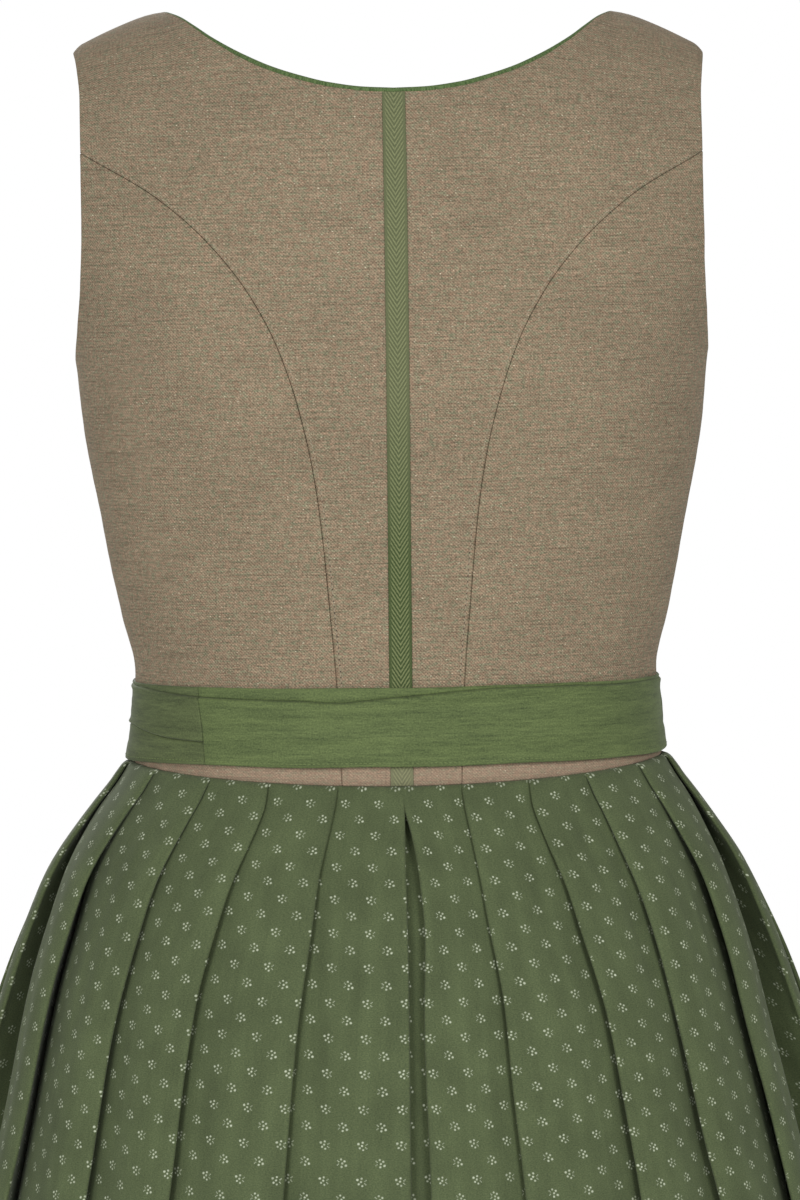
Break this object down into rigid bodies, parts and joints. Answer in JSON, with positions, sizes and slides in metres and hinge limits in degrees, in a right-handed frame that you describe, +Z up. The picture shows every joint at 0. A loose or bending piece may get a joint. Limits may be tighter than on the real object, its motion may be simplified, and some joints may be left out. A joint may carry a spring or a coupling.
{
  "type": "dirndl dress with apron",
  "caption": "Sleeveless fitted bodice with princess seams over a long knife-pleated skirt, with a gathered apron tied in front; hollow, as worn.",
  "frame": {"origin": "midway between the two shoulder straps, level with their tops at the neck, where the wearer's shoulders hold the dress", "axes": "+Z up, -Y towards the garment's front, +X towards the wearer's left"},
  "size_m": [0.6398, 0.5796, 1.0728],
  "materials": {
    "bodice_linen": "linen mélange, matt, with small slubs",
    "skirt_cotton": "cotton, with a small pale repeating motif",
    "apron_cotton": "plain cotton, slightly lustrous",
    "tape_cotton": "herringbone woven tape",
    "piping_cotton": "plain bias-covered cord",
    "button_horn": "smooth, slightly glossy horn look"
  },
  "bodies": {
    "root": {"back_centre_left": "bodice_linen", "back_side_left": "bodice_linen", "front_side_left": "bodice_linen", "front_centre_left": "bodice_linen", "back_centre_right": "bodice_linen", "back_side_right": "bodice_linen", "front_side_right": "bodice_linen", "front_centre_right": "bodice_linen", "front_placket": "bodice_linen", "back_tape": "tape_cotton", "neck_piping": "piping_cotton", "button_1": "button_horn", "button_2": "button_horn", "button_3": "button_horn", "button_4": "button_horn", "button_5": "button_horn", "button_6": "button_horn", "skirt_back": "skirt_cotton", "skirt_front": "skirt_cotton", "apron_panel": "apron_cotton", "apron_band": "apron_cotton", "apron_tie": "apron_cotton", "bow_knot": "apron_cotton", "bow_loop_left": "apron_cotton", "bow_loop_right": "apron_cotton", "bow_tail_left": "apron_cotton", "bow_tail_right": "apron_cotton"}
  },
  "joints": []
}
